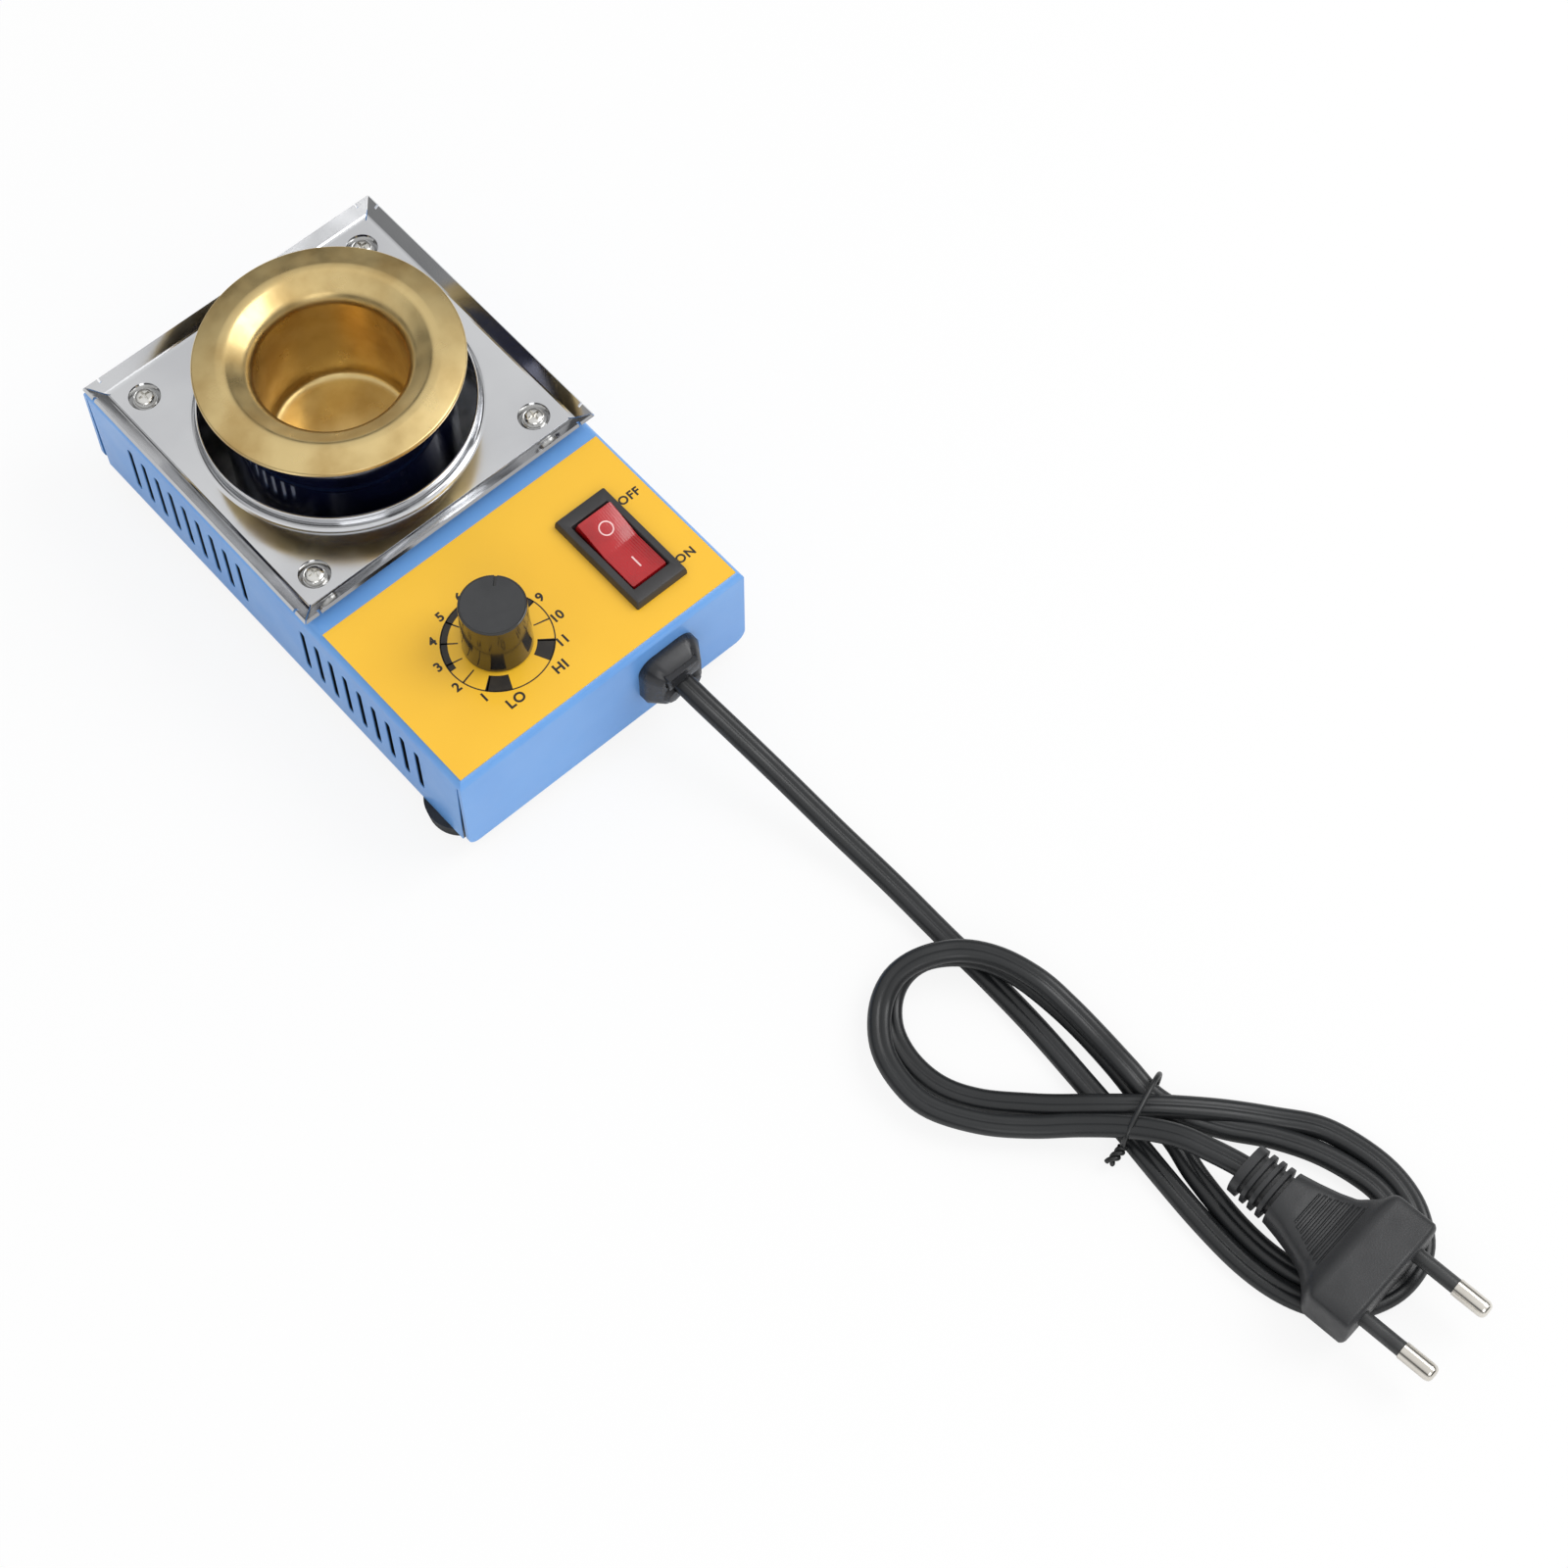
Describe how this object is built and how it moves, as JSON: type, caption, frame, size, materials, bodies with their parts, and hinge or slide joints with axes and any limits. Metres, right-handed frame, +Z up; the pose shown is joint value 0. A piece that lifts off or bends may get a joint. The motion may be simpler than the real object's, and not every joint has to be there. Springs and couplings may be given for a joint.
{
  "type": "solder pot",
  "caption": "Bench solder pot: folded steel housing with drip tray, heated gold crucible, dial control, rocker switch and a bundled mains lead with flat plug.",
  "frame": {"origin": "on the bench, under the middle of the housing with its feet", "axes": "+X to the right seen from the lead end, +Y from the lead end to the crucible end, +Z up"},
  "size_m": [0.1016, 0.358, 0.0546],
  "materials": {
    "blue_enamel": "smooth gloss enamel on steel sheet",
    "zinc_plate": "zinc plated",
    "foot_rubber": "matt moulded rubber",
    "nickel": "bright nickel plate",
    "polished_steel": "polished stainless steel sheet",
    "can_steel": "drawn stainless steel, heat darkened",
    "ceramic_fibre": "pressed ceramic fibre",
    "heater_steel": "mica band heater in steel jacket",
    "gold_metal": "turned, satin, gold coloured plating",
    "label_film": "printed polyester film",
    "knob_plastic": "glossy phenolic",
    "cap_plastic": "satin inlay",
    "pot_case": "phenolic with metal shell",
    "switch_plastic": "satin moulded nylon",
    "rocker_red": "translucent red polycarbonate",
    "tinned_brass": "tinned tabs",
    "board_green": "glass epoxy with solder mask",
    "nylon": "natural nylon",
    "epoxy_black": "moulded epoxy",
    "bare_aluminium": "extruded",
    "capacitor_film": "moulded film capacitor case",
    "choke_wire": "enamelled copper winding on a plastic bobbin",
    "fuse_glass": "glass tube with metal caps",
    "terminal_green": "moulded terminal block",
    "relief_nylon": "black nylon",
    "cord_pvc": "flexible PVC sheath",
    "tie_plastic": "plastic coated wire tie",
    "plug_pvc": "moulded PVC",
    "sleeve_plastic": "insulating sleeve",
    "pin_nickel": "nickel plated brass"
  },
  "bodies": {
    "base": {"housing": "blue_enamel", "bottom_cover": "zinc_plate", "cover_posts": "zinc_plate", "can_standoffs": "zinc_plate", "pot_washer": "zinc_plate", "pot_nut": "zinc_plate", "pot_bush": "zinc_plate", "feet": "foot_rubber", "foot_screws": "nickel", "tray_screws": "nickel", "tray_nuts": "nickel", "can_screws": "nickel", "band_screw": "nickel", "crucible_nut": "nickel", "fuse_clips": "nickel", "tray": "polished_steel", "heater_can": "can_steel", "insulation_pad": "ceramic_fibre", "insulation_sleeve": "ceramic_fibre", "heater_band": "heater_steel", "crucible": "gold_metal", "panel_label": "label_film", "pot_body": "pot_case", "switch_body": "switch_plastic", "switch_terminals": "tinned_brass", "control_board": "board_green", "board_standoffs": "nylon", "triac": "epoxy_black", "heat_sink": "bare_aluminium", "capacitor": "capacitor_film", "choke": "choke_wire", "fuse": "fuse_glass", "terminal_block": "terminal_green", "strain_relief": "relief_nylon", "relief_wedge": "relief_nylon", "cord_lead": "cord_pvc", "cord_hank": "cord_pvc", "cord_tail": "cord_pvc", "cord_tie": "tie_plastic", "plug_body": "plug_pvc", "plug_sleeves": "sleeve_plastic", "plug_pins": "pin_nickel"},
    "knob": {"knob": "knob_plastic", "knob_cap": "cap_plastic", "pot_shaft": "nickel"},
    "rocker": {"rocker": "rocker_red"}
  },
  "joints": [
    {"name": "knob_turn", "type": "hinge", "parent": "base", "child": "knob", "pos_m": [-0.0113, -0.0452, 0.04075], "axis": [0, 0, 1], "range_deg": [-105, 195]},
    {"name": "rocker_tilt", "type": "hinge", "parent": "base", "child": "rocker", "pos_m": [0.0236, -0.0452, 0.03215], "axis": [1, 0, 0], "range_deg": [-16, 0]}
  ]
}
